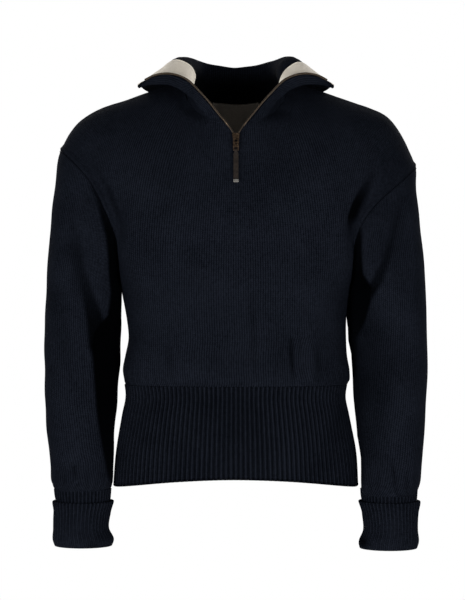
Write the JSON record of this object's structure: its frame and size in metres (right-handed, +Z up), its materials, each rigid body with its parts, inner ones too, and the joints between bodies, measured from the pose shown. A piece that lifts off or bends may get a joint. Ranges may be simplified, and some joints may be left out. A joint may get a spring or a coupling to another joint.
{
  "type": "fisherman sweater",
  "caption": "Heavy knitted pullover with a tall open collar rolled outward, a short zip with a leather pull, dropped shoulders, ribbed hem and turned-back ribbed cuffs, filled out as if worn.",
  "frame": {"origin": "middle of the neck, where the wearer's shoulders carry the garment", "axes": "+Z up, the front faces -Y, +X to the right as seen from the front; the wearer's left arm is at +X"},
  "size_m": [0.572, 0.2293, 0.7415],
  "materials": {
    "wool": "very dark navy wool knit, matt with a little nap",
    "cream_cotton": "cream woven cotton, matt",
    "taupe_tape": "woven zip tape, matt",
    "taupe_label": "woven label, bare, satin",
    "antique_brass": "antique brass, worn",
    "brown_leather": "dark brown leather, waxed",
    "bright_metal": "bright metal"
  },
  "bodies": {
    "garment": {"body_front": "wool", "body_back": "wool", "hem_rib_front": "wool", "hem_rib_back": "wool", "sleeve_left": "wool", "sleeve_right": "wool", "cuff_left": "wool", "cuff_right": "wool", "collar": "wool", "facing_left": "cream_cotton", "facing_right": "cream_cotton", "zip_tape_left": "taupe_tape", "zip_tape_right": "taupe_tape", "label": "taupe_label", "zip_slider": "antique_brass"},
    "pull": {"zip_pull": "antique_brass", "pull_strap": "brown_leather", "pull_tip": "bright_metal"}
  },
  "joints": [
    {"name": "pull_hinge", "type": "hinge", "parent": "garment", "child": "pull", "pos_m": [0, -0.10073, -0.07299], "axis": [-1, 0, 0], "range_deg": [0, 135]}
  ]
}
